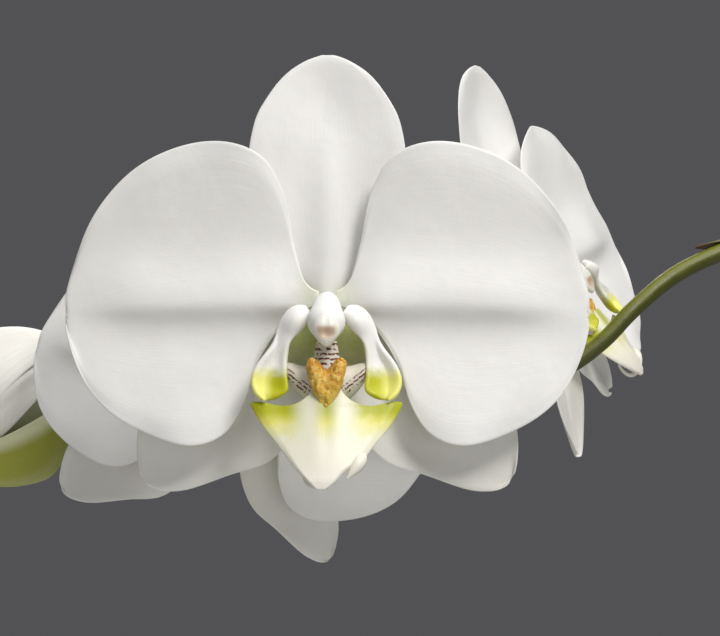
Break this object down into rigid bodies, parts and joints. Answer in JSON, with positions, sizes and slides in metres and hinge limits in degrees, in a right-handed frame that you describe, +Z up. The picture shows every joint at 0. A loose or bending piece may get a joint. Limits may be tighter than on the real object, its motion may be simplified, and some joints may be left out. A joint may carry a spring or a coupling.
{
  "type": "potted orchid",
  "caption": "Potted moth orchid: round cover pot with bark and leathery leaves, and a staked spike that arches over to broad white flowers and buds",
  "frame": {"origin": "centre of the flat underside of the cover pot", "axes": "+Z up along the pot's axis, -Y the way the front flower faces, +X to the right of someone looking at the front flower"},
  "size_m": [0.4415, 0.165, 0.499],
  "materials": {
    "glaze": "smooth off-white glaze",
    "clear_plastic": "thin clear moulded plastic",
    "bark": "rough dry bark chips",
    "leaf": "thick, leathery, slightly glossy",
    "root": "silvery green, matt",
    "stem": "smooth olive green, slightly waxy",
    "bamboo": "dry split-grain bamboo",
    "clip": "moulded",
    "petal": "soft white, satin, finely veined",
    "column": "waxy white",
    "lip": "waxy cream white with yellow and red-brown markings",
    "bud": "pale green to cream, satin"
  },
  "bodies": {
    "root": {"cover_pot": "glaze", "nursery_pot": "clear_plastic", "bark_medium": "bark", "crown": "leaf", "leaf_1": "leaf", "leaf_2": "leaf", "leaf_3": "leaf", "leaf_4": "leaf", "leaf_5": "leaf", "leaf_6": "leaf", "aerial_root_1": "root", "aerial_root_2": "root", "aerial_root_3": "root", "aerial_root_4": "root", "flower_spike": "stem", "bamboo_stake": "bamboo", "stake_clip_1": "clip", "stake_clip_2": "clip", "flower_1_dorsal_sepal": "petal", "flower_1_right_petal": "petal", "flower_1_left_petal": "petal", "flower_1_right_lateral_sepal": "petal", "flower_1_left_lateral_sepal": "petal", "flower_1_column": "column", "flower_1_anther_cap": "column", "flower_1_lip": "lip", "flower_1_pedicel": "stem", "flower_2_dorsal_sepal": "petal", "flower_2_right_petal": "petal", "flower_2_left_petal": "petal", "flower_2_right_lateral_sepal": "petal", "flower_2_left_lateral_sepal": "petal", "flower_2_column": "column", "flower_2_anther_cap": "column", "flower_2_lip": "lip", "flower_2_pedicel": "stem", "flower_3_dorsal_sepal": "petal", "flower_3_right_petal": "petal", "flower_3_left_petal": "petal", "flower_3_right_lateral_sepal": "petal", "flower_3_left_lateral_sepal": "petal", "flower_3_column": "column", "flower_3_anther_cap": "column", "flower_3_lip": "lip", "flower_3_pedicel": "stem", "opening_bud": "bud", "opening_bud_pedicel": "stem", "bud_2": "bud", "bud_2_pedicel": "stem", "bud_3": "bud", "bud_3_pedicel": "stem"}
  },
  "joints": []
}
